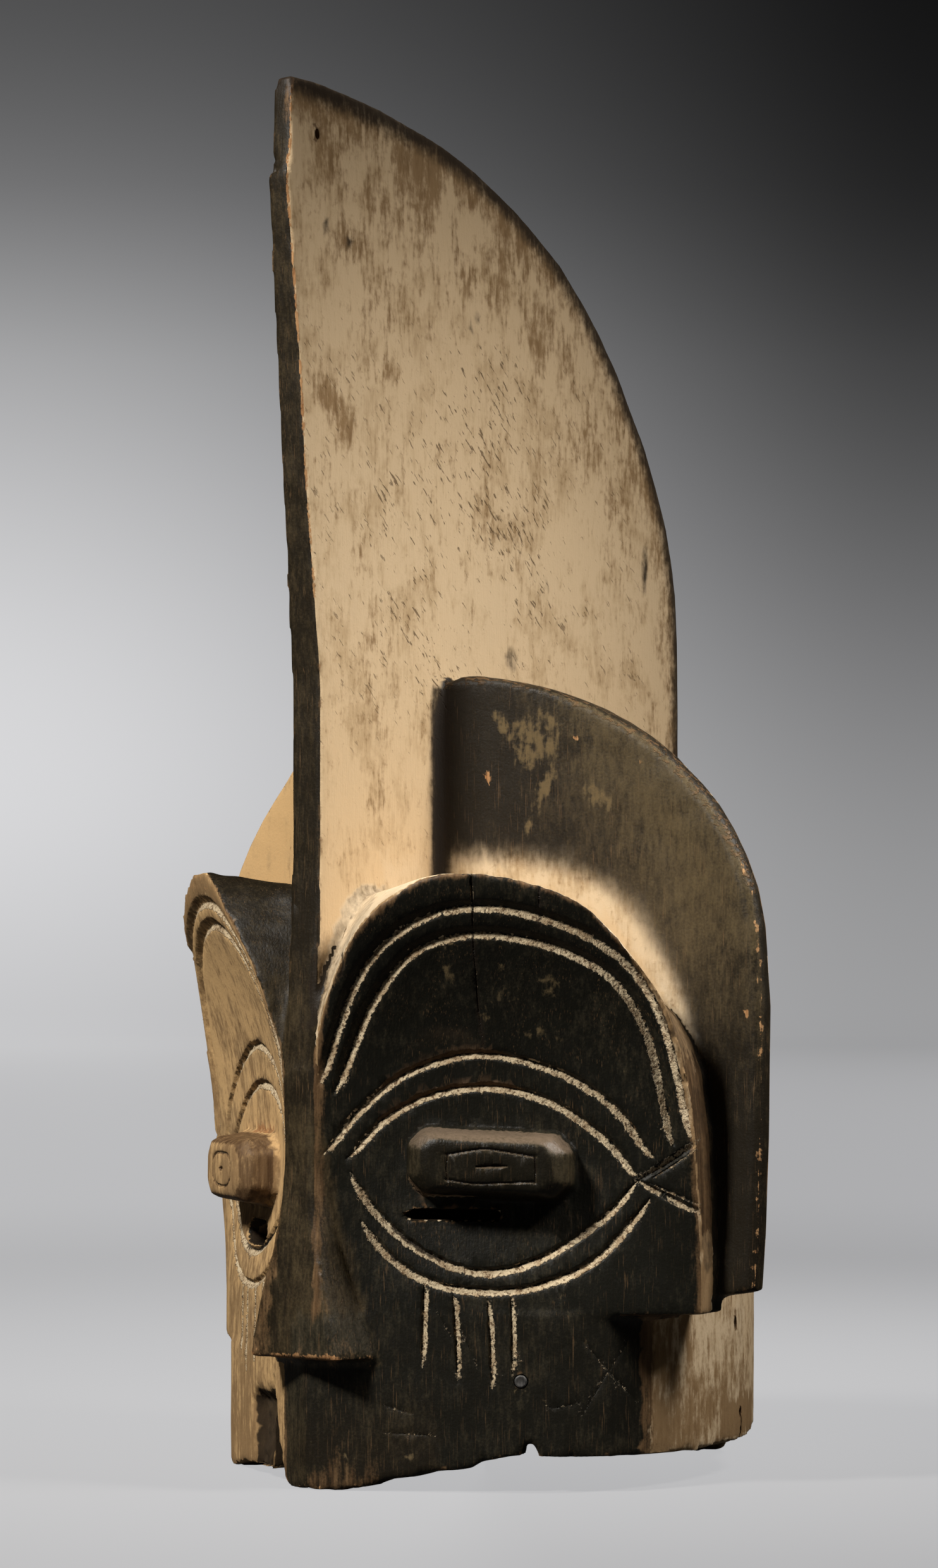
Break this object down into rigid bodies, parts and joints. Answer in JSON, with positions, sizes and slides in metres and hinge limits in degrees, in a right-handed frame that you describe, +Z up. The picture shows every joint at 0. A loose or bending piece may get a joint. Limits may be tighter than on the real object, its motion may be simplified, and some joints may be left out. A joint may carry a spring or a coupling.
{
  "type": "helmet mask",
  "caption": "Carved wooden helmet mask: an oval helmet open below, with a tall front-to-back crest, side flanges and an arched face with projecting block eyes.",
  "frame": {"origin": "on the surface that the rim rests on, under the middle of the mask's box", "axes": "+Z up along the crest, -Y the way the face looks, +X to the viewer's right when looking at the face"},
  "size_m": [0.38, 0.3282, 0.7194],
  "materials": {
    "wood": "worn matt paint and white clay over dry carved wood"
  },
  "bodies": {
    "root": {"mask": "wood"}
  },
  "joints": []
}
